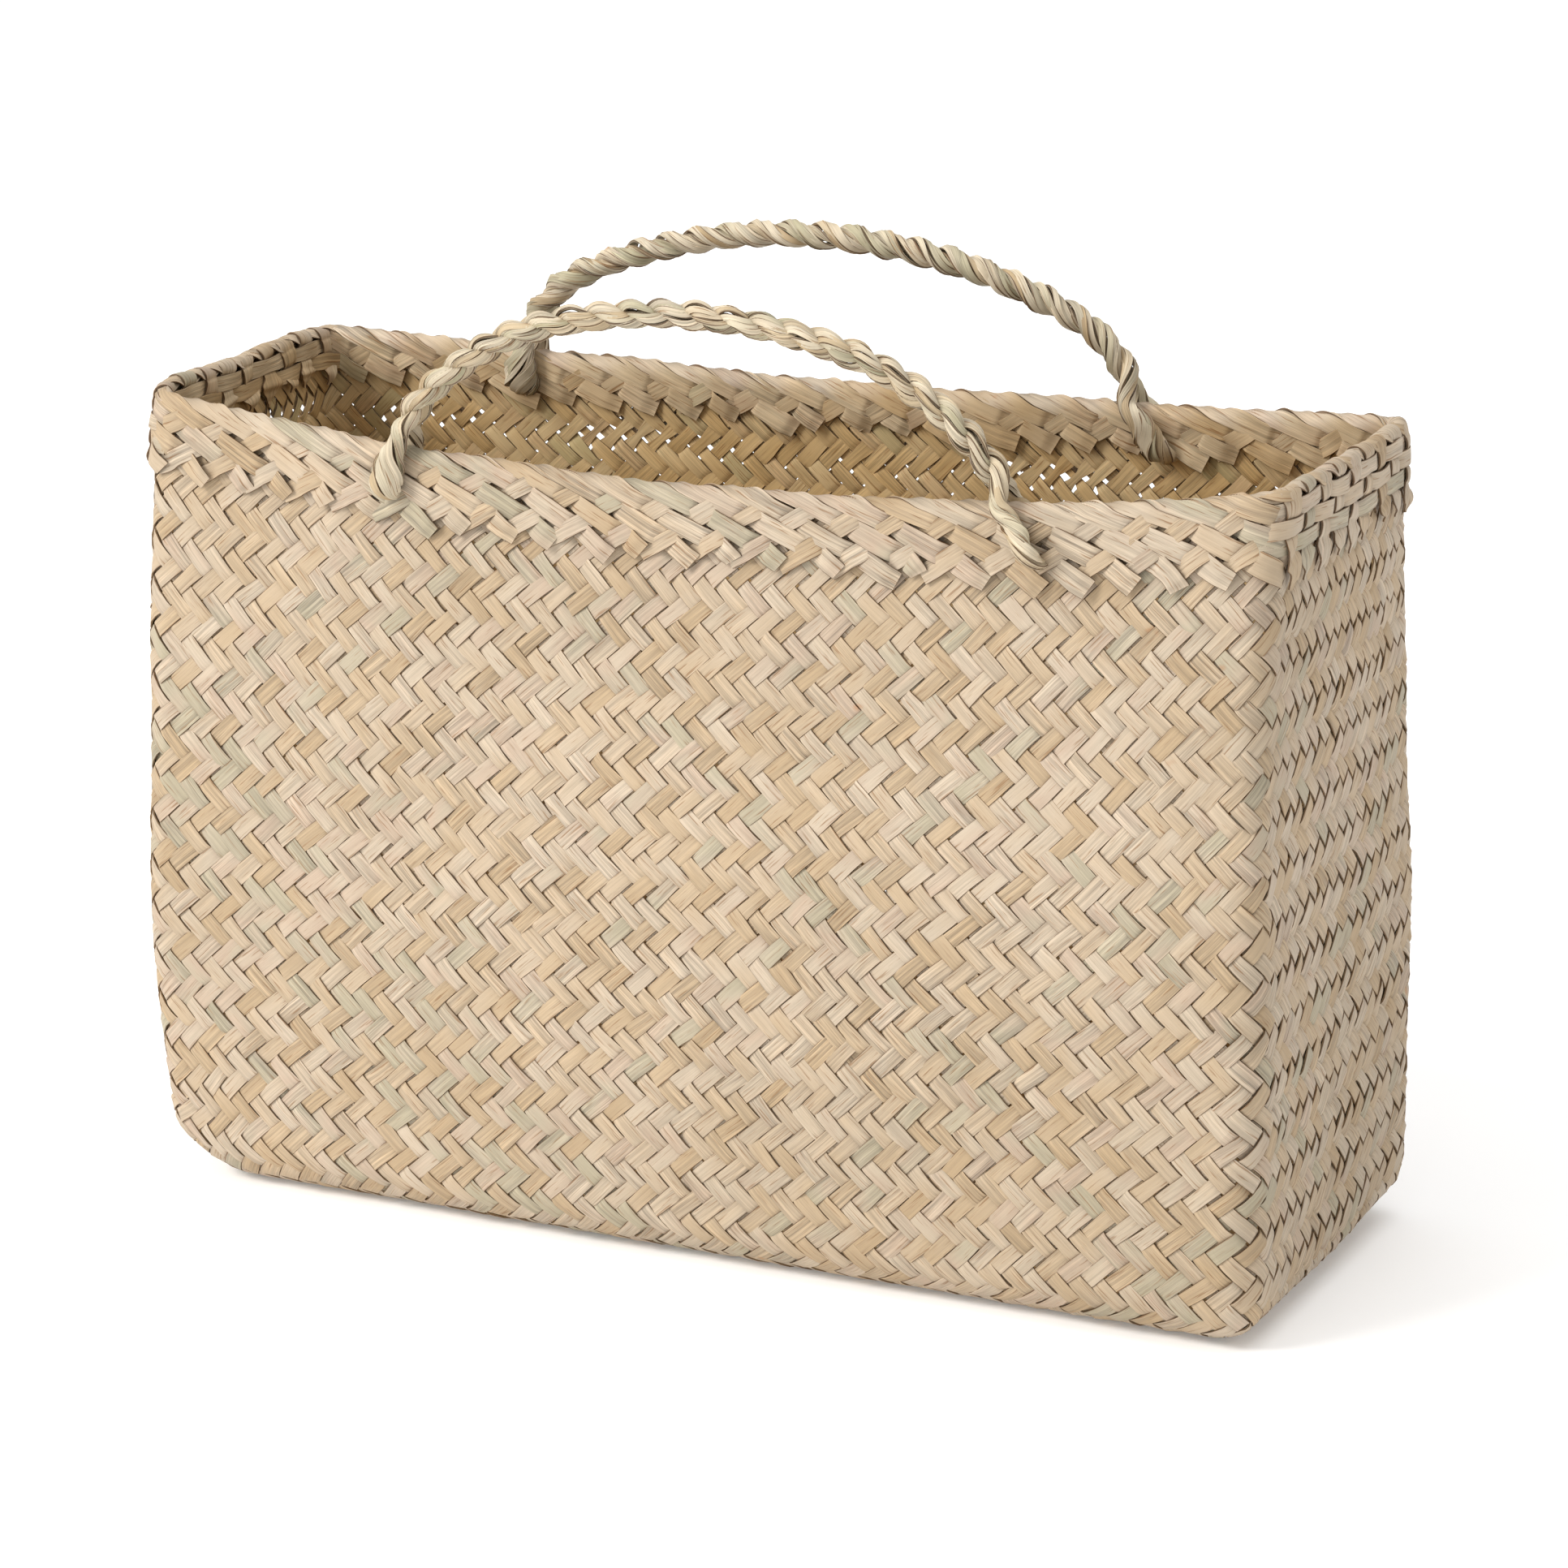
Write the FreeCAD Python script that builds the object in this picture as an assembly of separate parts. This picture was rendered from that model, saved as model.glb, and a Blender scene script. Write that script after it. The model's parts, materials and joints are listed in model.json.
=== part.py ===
import FreeCAD
import Part

import math
import os

# A tall plaited basket with two rope handles. Millimetres, +X along the long side, +Y towards
# the rear wall, +Z up, origin at the middle of the base's underside.

# Body plait
FOOT_HALF_WIDTH = 189.5      # half the width where the walls start, above the turned base edge
FOOT_HALF_DEPTH = 71.0
RIM_HALF_WIDTH = 190.0
RIM_HALF_DEPTH = 56.5
BELLY_WIDTH = 0.5            # how far the end walls belly out at half height
BELLY_DEPTH = 6.5            # how far the long walls belly out at half height
LONG_BOW_FOOT = 1.0          # outward bow of the long walls, in plan
LONG_BOW_RIM = 2.5
END_BOW = 0.5                # outward bow of the end walls, in plan
CORNER_RADIUS = 10.5
CORNER_TIGHTENING = 0.3      # how much tighter the corners get where the base edge turns in
BASE_EDGE_RADIUS = 18.0      # the turn from the base into the walls
RIM_HEIGHT = 260.0           # top of the rim at the four corners
WALL = 2.4                   # thickness of the two crossing layers of strips

# Rim border
BORDER_HEIGHT = 23.0
BORDER_PROUD = 1.6           # how far the border stands out from the wall on each side
FRONT_DIP = 13.5             # how far the rim sags at the middle of the front
REAR_DIP = 4.7

# Rope handles
ROPE_RADIUS = 4.6
LEG_RADIUS = 3.3             # each rope end splits in two thinner legs
TIE_RADIUS = 2.4             # where the legs meet, through the border
PIVOT_ABOVE_RIM = 5.6        # where the legs join, above the rim's top
LEG_SPREADS = {"left": 3.5, "right": 12.0}   # how far a leg slants outwards on its way down
TIE_BELOW_RIM = 15.5         # from the rim's top down to the tie's middle
SWING_GAP = 0.4              # between the swinging rope and its legs
TIE_HOLE_GAP = 0.3           # between a tie and its hole in the border
LEG_GAP = 0.5                # between a leg and the border that it straddles
END_STEP = 0.1               # rounded ends are this much thinner than their rope
HANDLES = {
    # name: (side of the basket, middle in x, half span, rise of the rope's centreline)
    "front": (-1, 2.6, 99.5, 41.7),
    "rear": (1, -8.6, 104.5, 38.6),
}
SLOPES = {
    # name: (rope's direction where it leaves its legs, and where its side arc meets the wide top arc)
    "front": (math.radians(54.0), math.radians(15.5)),
    "rear": (math.radians(67.0), math.radians(24.5)),
}

EDGE_STEPS = 4               # sections round the turned base edge
WALL_STEPS = 4               # sections up the walls
FAR = 600.0                  # larger than the whole basket

os.makedirs("parts", exist_ok=True)


def save(name, shape):
    """Write one piece as its own file and say how large it is."""
    if len(shape.Solids) == 1:
        shape = shape.Solids[0]
    print(f"{name:28s} solids {len(shape.Solids)} valid {shape.isValid()} {shape.Volume / 1000:8.2f} cm3")
    shape.exportStep(f"parts/{name}.step")


def ring(height, half_width, half_depth, long_bow, end_bow, radius):
    """One level outline: four bowed sides joined by four round corners."""
    straight_x = half_width - radius
    straight_y = half_depth - radius
    cut = radius * math.sqrt(0.5)
    corners = []
    for sign_x, sign_y in ((-1, -1), (1, -1), (1, 1), (-1, 1)):
        on_long_side = (sign_x * straight_x, sign_y * half_depth)
        middle = (sign_x * (straight_x + cut), sign_y * (straight_y + cut))
        on_end = (sign_x * half_width, sign_y * straight_y)
        along = [on_long_side, middle, on_end]
        corners.append(along if sign_x == sign_y * -1 else along[::-1])
    bows = [(0, -half_depth - long_bow), (half_width + end_bow, 0),
            (0, half_depth + long_bow), (-half_width - end_bow, 0)]
    edges = []
    for index, corner in enumerate(corners):
        following = corners[(index + 1) % 4]
        for start, middle, end in (corner, (corner[2], bows[index], following[0])):
            points = [FreeCAD.Vector(x, y, height) for x, y in (start, middle, end)]
            edges.append(Part.Arc(*points).toShape())
    return Part.Wire(edges)


def wall_sizes(share):
    """Half width, half depth and plan bow of the walls at a share of the way up from the base edge."""
    swell = 4 * share * (1 - share)
    half_width = FOOT_HALF_WIDTH + share * (RIM_HALF_WIDTH - FOOT_HALF_WIDTH) + BELLY_WIDTH * swell
    half_depth = FOOT_HALF_DEPTH + share * (RIM_HALF_DEPTH - FOOT_HALF_DEPTH) + BELLY_DEPTH * swell
    bow = LONG_BOW_FOOT + share * (LONG_BOW_RIM - LONG_BOW_FOOT)
    return half_width, half_depth, bow


def wall_middle(side, x, height):
    """Middle of a long wall's thickness at x and a height."""
    share = (height - BASE_EDGE_RADIUS) / (RIM_HEIGHT - BASE_EDGE_RADIUS)
    half_width, half_depth, bow = wall_sizes(share)
    bow_here = bow * (1 - (x / (half_width - CORNER_RADIUS)) ** 2)
    return side * (half_depth + bow_here - WALL / 2)


def edge_levels(inset):
    """Outlines round the turned base edge, all moved inwards by the same distance."""
    turn = BASE_EDGE_RADIUS - inset
    rings = []
    for step in range(EDGE_STEPS):
        angle = math.radians(90.0 * step / EDGE_STEPS)
        pull = BASE_EDGE_RADIUS - turn * math.sin(angle)
        height = BASE_EDGE_RADIUS - turn * math.cos(angle)
        rings.append(ring(height, FOOT_HALF_WIDTH - pull, FOOT_HALF_DEPTH - pull,
                          LONG_BOW_FOOT, END_BOW, CORNER_RADIUS - pull * CORNER_TIGHTENING))
    return rings


def wall_levels(inset):
    """Outlines up the walls, all moved inwards by the same distance."""
    rings = []
    for step in range(WALL_STEPS + 1):
        share = step / WALL_STEPS
        height = BASE_EDGE_RADIUS + share * (RIM_HEIGHT - BASE_EDGE_RADIUS)
        half_width, half_depth, bow = wall_sizes(share)
        rings.append(ring(height, half_width - inset, half_depth - inset, bow, END_BOW,
                          CORNER_RADIUS - inset))
    return rings


def block(low, high):
    """A box between two corners."""
    size = [b - a for a, b in zip(low, high)]
    return Part.makeBox(*size, FreeCAD.Vector(*low))


def side_regions(half_width, half_depth):
    """Boxes that divide a shell in plan: four sides and four corners."""
    spans_x = {"left": (-FAR, -half_width), "": (-half_width, half_width), "right": (half_width, FAR)}
    spans_y = {"front": (-FAR, -half_depth), "": (-half_depth, half_depth), "back": (half_depth, FAR)}
    regions = {}
    for side_x, (low_x, high_x) in spans_x.items():
        for side_y, (low_y, high_y) in spans_y.items():
            name = "_".join(word for word in (side_y, side_x) if word)
            regions[name] = block((low_x, low_y, -FAR), (high_x, high_y, FAR))
    return regions


def rim_dip(side):
    """How far the rim sags at the middle of a long side."""
    return FRONT_DIP if side < 0 else REAR_DIP


def rim_top(side, x):
    """Height of the rim's top above the base at x, on the arc that it sags along."""
    dip = rim_dip(side)
    radius = (RIM_HALF_WIDTH ** 2 + dip ** 2) / (2 * dip)
    return RIM_HEIGHT - dip + radius - math.sqrt(radius ** 2 - x ** 2)


def above(side, drop):
    """Everything above the sagging rim line of one long half, lowered by drop."""
    dip = rim_dip(side)
    height = RIM_HEIGHT - drop
    left = FreeCAD.Vector(-RIM_HALF_WIDTH, 0, height)
    right = FreeCAD.Vector(RIM_HALF_WIDTH, 0, height)
    sag = Part.Arc(left, FreeCAD.Vector(0, 0, height - dip), right).toShape()
    corners = [right, FreeCAD.Vector(FAR, 0, height), FreeCAD.Vector(FAR, 0, FAR),
               FreeCAD.Vector(-FAR, 0, FAR), FreeCAD.Vector(-FAR, 0, height), left]
    edges = [sag]
    for start, end in zip(corners, corners[1:]):
        edges.append(Part.LineSegment(start, end).toShape())
    face = Part.Face(Part.Wire(edges))
    return face.extrude(FreeCAD.Vector(0, side * FAR, 0))


def plait_shell():
    """The open box that the plait makes: base, turned edge and walls."""
    outer = Part.makeLoft(edge_levels(0.0) + wall_levels(0.0), True, True)
    inner = Part.makeLoft(edge_levels(WALL) + wall_levels(WALL), True, True)
    return outer.cut(inner)


def border_shell():
    """A thicker sleeve on the same walls, from which the border is cut."""
    outer = Part.makeLoft(wall_levels(-BORDER_PROUD), True, True)
    inner = Part.makeLoft(wall_levels(WALL + BORDER_PROUD), True, True)
    return outer.cut(inner)


def swing_axis(side, middle, half_span):
    """Where a handle's swing axis lies, in y and z: over the rim's middle, clear of its top at both ends."""
    highest = max(rim_top(side, middle - half_span), rim_top(side, middle + half_span))
    axis_z = highest + PIVOT_ABOVE_RIM
    return wall_middle(side, half_span, axis_z - ROPE_RADIUS), axis_z


def arch_radii(half_span, rise, start, shoulder):
    """Radii of the tight side arcs and of the wide top arc that meet at the shoulder slope."""
    across = math.sin(start) - math.sin(shoulder)
    up = math.cos(shoulder) - math.cos(start)
    top_across = math.sin(shoulder)
    top_up = 1 - math.cos(shoulder)
    side_radius = (rise * top_across - half_span * top_up) / (up * top_across - across * top_up)
    top_radius = (rise - side_radius * up) / top_up
    return side_radius, top_radius


def rope_arch(name):
    """A rope bent into an arch, with round ends on the swing axis."""
    side, middle, half_span, rise = HANDLES[name]
    start, shoulder = SLOPES[name]
    axis_y, axis_z = swing_axis(side, middle, half_span)
    side_radius, top_radius = arch_radii(half_span, rise, start, shoulder)

    def side_point(direction, slope):
        reach = half_span + side_radius * (math.sin(slope) - math.sin(start))
        height = side_radius * (math.cos(slope) - math.cos(start))
        return FreeCAD.Vector(middle + direction * reach, axis_y, axis_z + height)

    slopes = (start, (start + shoulder) / 2, shoulder)
    left = [side_point(-1, slope) for slope in slopes]
    right = [side_point(1, slope) for slope in slopes[::-1]]
    crown = FreeCAD.Vector(middle, axis_y, axis_z + rise)
    arcs = [Part.Arc(*left), Part.Arc(left[2], crown, right[0]), Part.Arc(*right)]
    path = Part.Wire([arc.toShape() for arc in arcs])
    start_direction = FreeCAD.Vector(math.cos(start), 0, math.sin(start))
    section = Part.Wire(Part.makeCircle(ROPE_RADIUS, left[0], start_direction))
    rope = path.makePipeShell([section], True, False)
    for end in (left[0], right[2]):
        rope = rope.fuse(Part.makeSphere(ROPE_RADIUS - END_STEP, end))
    expected = math.pi * ROPE_RADIUS ** 2 * path.Length
    print(f"arch radii {side_radius:.1f} and {top_radius:.1f}, length {path.Length:.1f},"
          f" volume share {rope.Volume / expected:.3f}")
    return rope


def round_leg(high, low):
    """One leg of a rope end, with a round foot."""
    body = Part.makeCylinder(LEG_RADIUS, (high - low).Length, low, high - low)
    return body.fuse(Part.makeSphere(LEG_RADIUS - END_STEP, low))


def rope_end(name, side, x, foot_x, axis_y, axis_z):
    """Saves the two legs and the tie of one rope end. Returns the hole that the tie needs in the border."""
    foot_z = rim_top(side, foot_x) - TIE_BELOW_RIM
    foot_y = wall_middle(side, foot_x, foot_z)
    offset = WALL / 2 + BORDER_PROUD + LEG_RADIUS + LEG_GAP
    top_z = axis_z - ROPE_RADIUS - SWING_GAP
    swing_room = Part.makeSphere(ROPE_RADIUS + SWING_GAP, FreeCAD.Vector(x, axis_y, axis_z))
    tie_start = FreeCAD.Vector(foot_x, foot_y - offset, foot_z)
    along = FreeCAD.Vector(0, 1, 0)
    tie = Part.makeCylinder(TIE_RADIUS, 2 * offset, tie_start, along)
    for word, outwards in (("outer", side), ("inner", -side)):
        high = FreeCAD.Vector(x, axis_y + outwards * offset, top_z)
        low = FreeCAD.Vector(foot_x, foot_y + outwards * offset, foot_z)
        piece = round_leg(high, low).cut(swing_room)
        save(f"{name}_{word}_leg", piece)
        tie = tie.cut(piece)
    save(f"{name}_tie", max(tie.Solids, key=lambda solid: solid.Volume))
    return Part.makeCylinder(TIE_RADIUS + TIE_HOLE_GAP, 2 * offset, tie_start, along)


def build_handles():
    """Saves the two ropes with their legs and ties. Returns the holes that each long side's border needs."""
    holes = {"front": [], "back": []}
    for name, (side, middle, half_span, _) in HANDLES.items():
        axis_y, axis_z = swing_axis(side, middle, half_span)
        print(f"{name} swing axis y {axis_y:.2f} z {axis_z:.2f}")
        for word, direction in (("left", -1), ("right", 1)):
            x = middle + direction * half_span
            foot_x = x + direction * LEG_SPREADS[word]
            hole = rope_end(f"{name}_{word}", side, x, foot_x, axis_y, axis_z)
            holes["front" if side < 0 else "back"].append(hole)
        save(f"{name}_handle_rope", rope_arch(name))
    return holes


def build_basket():
    """The plait's base, walls and corner turns, then the border above them."""
    regions = side_regions(FOOT_HALF_WIDTH - BASE_EDGE_RADIUS, FOOT_HALF_DEPTH - BASE_EDGE_RADIUS)
    rim_regions = side_regions(RIM_HALF_WIDTH - CORNER_RADIUS, RIM_HALF_DEPTH - CORNER_RADIUS)
    border_zone = above(-1, BORDER_HEIGHT).fuse(above(1, BORDER_HEIGHT))
    over_rim = above(-1, 0.0).fuse(above(1, 0.0))
    plait = plait_shell().cut(border_zone)
    border = border_shell().common(border_zone).cut(over_rim)
    walls = {name: plait.common(region) for name, region in regions.items()}
    rims = {name: border.common(region) for name, region in rim_regions.items() if name}
    save("base_mat", walls.pop(""))
    for name, holes in build_handles().items():
        for hole in holes:
            rims[name] = rims[name].cut(hole)
    for name, wall in walls.items():
        save(f"{name}_corner" if "_" in name else f"{name}_wall", wall)
    for name, rim in rims.items():
        save(f"{name}_rim_corner" if "_" in name else f"{name}_rim", rim)


build_basket()
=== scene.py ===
import json
import math

import bpy
import numpy as np
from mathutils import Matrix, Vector


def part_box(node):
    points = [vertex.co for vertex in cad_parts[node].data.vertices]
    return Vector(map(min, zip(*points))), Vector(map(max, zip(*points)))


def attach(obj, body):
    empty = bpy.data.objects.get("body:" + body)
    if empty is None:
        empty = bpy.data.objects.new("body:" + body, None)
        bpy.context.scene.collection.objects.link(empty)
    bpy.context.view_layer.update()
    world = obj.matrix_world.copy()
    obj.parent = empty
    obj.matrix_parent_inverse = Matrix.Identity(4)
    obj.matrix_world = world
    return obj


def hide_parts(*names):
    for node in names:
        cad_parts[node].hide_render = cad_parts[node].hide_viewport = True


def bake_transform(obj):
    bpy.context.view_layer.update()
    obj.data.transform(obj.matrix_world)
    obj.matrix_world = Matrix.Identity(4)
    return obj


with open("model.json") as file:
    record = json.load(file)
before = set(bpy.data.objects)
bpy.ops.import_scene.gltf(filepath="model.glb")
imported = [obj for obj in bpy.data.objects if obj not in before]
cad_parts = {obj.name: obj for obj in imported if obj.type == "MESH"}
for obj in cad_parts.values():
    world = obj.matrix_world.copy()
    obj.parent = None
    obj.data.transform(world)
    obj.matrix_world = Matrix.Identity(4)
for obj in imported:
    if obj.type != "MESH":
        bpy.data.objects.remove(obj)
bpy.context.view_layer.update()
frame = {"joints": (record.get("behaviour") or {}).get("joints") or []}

# A tall basket plaited from flat strips, with a folded border and two rope handles. Metres.

# Shape of the walls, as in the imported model
EDGE_TURN = 0.018            # radius of the turn from the base into the walls
WALL = 0.0024
CORNER_RADIUS = 0.0105
FOOT_HALF_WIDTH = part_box("base_mat")[1][0] + EDGE_TURN
FOOT_HALF_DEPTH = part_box("base_mat")[1][1] + EDGE_TURN
RIM_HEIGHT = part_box("left_rim")[1][2]
WIDER_AT_RIM = 0.0005
NARROWER_AT_RIM = 0.0145
BELLY_WIDTH = 0.0005
BELLY_DEPTH = 0.0065
BOW_FOOT = 0.001
BOW_RIM = 0.0025
END_BOW = 0.0005
BORDER_HEIGHT = 0.023
DIPS = [RIM_HEIGHT - BORDER_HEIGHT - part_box(rim)[0][2] for rim in ("front_rim", "back_rim")]
TURN = EDGE_TURN - WALL / 2  # radius of the turned edge at the middle of the wall

# What makes the walls uneven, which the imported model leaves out
RIM_TILT = 0.0020            # the rim's right end is this much higher than its middle, and its left end lower
RIM_WAVE = 0.0006
END_LEAN = 0.0024            # how far the right end leans in at the rim
DENT = 0.0011
FINE_DENT = 0.00035

# The base has slumped: its soft left end is lifted and pulled in, and its far right corner is lifted
SLUMP_FROM = 0.150           # distance from the basket's middle where the slump begins
SLUMP_SPAN = 0.040
SLUMP_LIFT = 0.0080
SLUMP_PULL = 0.0058
FAR_CORNER_LIFT = 0.0032
LIFT_HEIGHT = 0.045          # the walls take up the lift over this height
PULL_HEIGHT = 0.085

# Plait: distances round the basket and up it are counted in pitches of the strips
LOOP = 132                   # strips of each direction round the basket
SIDE_SPAN = 46.5
CORNER_SPAN = 2.0
END_SPAN = 15.5
HALF_LOOP = 66
RISE = 31.75                 # pitches from the turned edge to the rim
BASE_SPAN = 21.5             # pitches from wall to wall under the basket
BASE_FLAT = 2 * (FOOT_HALF_DEPTH - EDGE_TURN)
EDGE_PITCH = (BASE_FLAT + math.pi * TURN) / BASE_SPAN
EDGE_SPAN = math.pi / 2 * TURN / EDGE_PITCH
STRIP_THICK = 0.00034        # half the thickness of a strip
STRIP_LIFT = 0.00042         # how far a strip rises and dives at each crossing
STRIP_FILL = 0.985           # share of its place that a strip's width takes
DIVE = 3.3                   # how steeply a strip goes from over to under
WARP = 0.16                  # how far the plait's lines stray, in pitches
TAIL = 1.3                   # how far the end walls' strips run on past the turned edge, in pitches
TAIL_RISE = 0.0016           # how far they rise there, to lie on the base and not under it
LOOSE_DEPTH = 9              # the plait is looser from this many pitches below the rim
LOOSE_AT_FRONT = 0.35        # share of the back half's looseness that the front half has
HOLE_DEPTH = 3.55            # the row of holes, in pitches below the rim

NUDGE = 0.03                 # pitches to each side of a point, for taking the wall's slope there

# Cross section of a strip: -1 to 1 across it, and -1 (inner face) to 1 (outer face) through its thickness
SECTION_ACROSS = np.array([-1.0, -0.93, 0.0, 0.93, 1.0, 0.93, 0.0, -0.93])
SECTION_HEIGHT = np.array([0.0, 0.84, 1.0, 0.84, 0.0, -0.84, -1.0, -0.84])
# The two side-edge corners, 1 here, get painted shade in the material for the dark gaps between strips,
# partly dirt on the leaf edges
SECTION_EDGE_SHADE = np.array([1.0, 0.0, 0.0, 0.0, 1.0, 0.0, 0.0, 0.0])
SECTION_INNER = np.array([0.5, 0.0, 0.0, 0.0, 0.5, 1.0, 1.0, 1.0])
CORNERS = len(SECTION_ACROSS)

random = np.random.default_rng(38)


# ---------------------------------------------------------------- small helpers

def unit(v):
    """Vectors scaled to length 1."""
    return v / np.maximum(np.linalg.norm(v, axis=-1, keepdims=True), 1e-12)


def smooth(x):
    """An even rise from 0 at 0 to 1 at 1."""
    x = np.clip(x, 0.0, 1.0)
    return x * x * (3.0 - 2.0 * x)


def steepen(wave, sharpness):
    """A wave from -1 to 1 with flatter tops and steeper slopes between them."""
    return np.tanh(sharpness * wave) / math.tanh(sharpness)


def jitter(count):
    """One random value for each strip, -1 to 1."""
    return random.uniform(-1, 1, (count, 1))


def make_ripple(waves, round_most, up_most):
    """A smooth random field over the walls that closes on itself round the basket, about -1 to 1."""
    terms = [(random.integers(1, round_most + 1) * random.choice((-1, 1)), random.uniform(-up_most, up_most),
              random.uniform(0, 2 * math.pi)) for _ in range(waves)]

    def ripple(p, q):
        total = sum(np.sin(2 * math.pi * m * p / LOOP + a * q + phase) for m, a, phase in terms)
        return total / math.sqrt(waves / 2) / 2
    return ripple


def drift(t, strips, scale, waves=4):
    """Smooth random values along each strip, about -1 to 1, with features of about one scale."""
    rate = random.uniform(0.5, 1.6, (strips, waves, 1)) * 2 * math.pi / scale / 2
    phase = random.uniform(0, 2 * math.pi, (strips, waves, 1))
    return np.sin(rate * t[:, None, :] + phase).sum(axis=1) / math.sqrt(waves / 2) / 1.6


# ---------------------------------------------------------------- surface of the walls

warp_round = make_ripple(7, 9, 0.35)
warp_up = make_ripple(7, 9, 0.35)
dent = make_ripple(8, 8, 0.22)
fine_dent = make_ripple(10, 26, 0.8)
rim_wave = make_ripple(6, 14, 0.0)


def outline(p, half_x, half_y, radius, bow):
    """Plan point p pitches round a bowed rectangle with round corners, from the front's left end."""
    p = np.mod(p, LOOP)
    turn = np.where(p >= HALF_LOOP, -1.0, 1.0)
    p = np.mod(p, HALF_LOOP)
    straight_x = half_x - radius
    straight_y = half_y - radius
    side = 2 * p / SIDE_SPAN - 1
    first = (p - SIDE_SPAN) / CORNER_SPAN * math.pi / 2
    end = 2 * (p - SIDE_SPAN - CORNER_SPAN) / END_SPAN - 1
    second = (p - SIDE_SPAN - CORNER_SPAN - END_SPAN) / CORNER_SPAN * math.pi / 2
    zones = [side < 1, end < -1, end < 1]
    x = np.select(zones, [straight_x * side, straight_x + radius * np.sin(first),
                          half_x + END_BOW * (1 - end ** 2)], straight_x + radius * np.cos(second))
    y = np.select(zones, [-half_y - bow * (1 - side ** 2), -straight_y - radius * np.cos(first),
                          straight_y * end], straight_y + radius * np.sin(second))
    return turn * x, turn * y


def corner_radius(inwards):
    """Radius of the upright corners in plan, at the middle of the wall. It shrinks as the wall turns in."""
    return np.clip(CORNER_RADIUS - WALL / 2 - 0.35 * inwards, 0.002, None)


def wall_point(p, q):
    """Middle of the wall's thickness, p pitches round and q up. Below 0 it turns in under the basket."""
    below = np.clip(-q, 0.0, None) * EDGE_PITCH
    angle = np.clip(below / TURN, 0.0, math.pi / 2)
    inwards = TURN * (1 - np.cos(angle)) + np.clip(below - TURN * math.pi / 2, 0.0, None)
    share = np.clip(q / RISE, 0.0, None)
    swell = 4 * share * (1 - share)
    half_x = FOOT_HALF_WIDTH - WALL / 2 + WIDER_AT_RIM * share + BELLY_WIDTH * swell - inwards
    half_y = FOOT_HALF_DEPTH - WALL / 2 - NARROWER_AT_RIM * share + BELLY_DEPTH * swell - inwards
    radius = corner_radius(inwards)
    x, y = outline(p, half_x, half_y, radius, BOW_FOOT + (BOW_RIM - BOW_FOOT) * share)
    sag = np.clip(1 - (x / (FOOT_HALF_WIDTH + WIDER_AT_RIM)) ** 2, 0, None)
    dip = np.where(y < 0, DIPS[0], DIPS[1]) * sag
    tilt = RIM_TILT * x / FOOT_HALF_WIDTH
    height = RIM_HEIGHT - dip + tilt + RIM_WAVE * rim_wave(p, 0.0) - EDGE_TURN
    z = EDGE_TURN + height * share - TURN * np.sin(angle)
    x = x - END_LEAN * smooth((x - 0.120) / 0.070) * smooth((share - 0.35) / 0.4)
    return np.stack([x, y, z], axis=-1)


def wall_frame(p, q):
    """Point, outward normal and the two pitch vectors of the dented wall."""
    around = (wall_point(p + NUDGE, q) - wall_point(p - NUDGE, q)) / (2 * NUDGE)
    upwards = (wall_point(p, q + NUDGE) - wall_point(p, q - NUDGE)) / (2 * NUDGE)
    normal = unit(np.cross(around, upwards))
    fade = smooth((q + EDGE_SPAN) / 4)[..., None] * smooth((RISE + 1.0 - q) / 5)[..., None]
    dents = (DENT * dent(p, q) + FINE_DENT * fine_dent(p, q))[..., None] * fade
    return wall_point(p, q) + normal * dents, normal, around, upwards


def base_frame(p, q):
    """The same for the flat base. It carries the front's plait on under the basket to the back."""
    half_x = FOOT_HALF_WIDTH - WALL / 2 - TURN
    straight = half_x - corner_radius(TURN)
    side = 2 * p / SIDE_SPAN - 1
    reach = BASE_FLAT / 2 + BOW_FOOT * np.clip(1 - side ** 2, 0, None)
    across = -1 + 2 * (-q - EDGE_SPAN) * EDGE_PITCH / BASE_FLAT
    point = np.stack([straight * side, reach * across, np.full_like(p, WALL / 2)], axis=-1)
    normal = np.zeros_like(point)
    normal[..., 2] = -1
    around = np.zeros_like(point)
    around[..., 0] = 2 * straight / SIDE_SPAN
    upwards = np.zeros_like(point)
    upwards[..., 1] = -EDGE_PITCH
    return point, normal, around, upwards


def settle(points):
    """Lifts and rounds the left end and the far right corner of the base."""
    x, y, z = points[..., 0], points[..., 1], points[..., 2]
    left_end = smooth((-x - SLUMP_FROM) / SLUMP_SPAN)
    far_corner = smooth((x - SLUMP_FROM) / SLUMP_SPAN) * smooth((y - 0.010) / 0.055)
    low = smooth((LIFT_HEIGHT - z) / LIFT_HEIGHT)
    points = points.copy()
    points[..., 2] += (SLUMP_LIFT * left_end ** 2 + FAR_CORNER_LIFT * far_corner) * low
    points[..., 0] += SLUMP_PULL * left_end * smooth((PULL_HEIGHT - z) / 0.075)
    return points


# ---------------------------------------------------------------- strips into meshes

def sections(centre, normal, half_width, half_thick, roll=0.0):
    """Closed cross sections along each strip: (strips, samples, corners, 3)."""
    tangent = unit(np.gradient(centre, axis=-2))
    side = unit(np.cross(normal, tangent))
    lifted = np.cross(tangent, side)
    cos, sin = np.cos(roll)[..., None], np.sin(roll)[..., None]
    side, lifted = side * cos + lifted * sin, lifted * cos - side * sin
    across = half_width[..., None, None] * SECTION_ACROSS[:, None]
    height = half_thick[..., None, None] * SECTION_HEIGHT[:, None]
    return centre[..., None, :] + side[..., None, :] * across + lifted[..., None, :] * height


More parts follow.
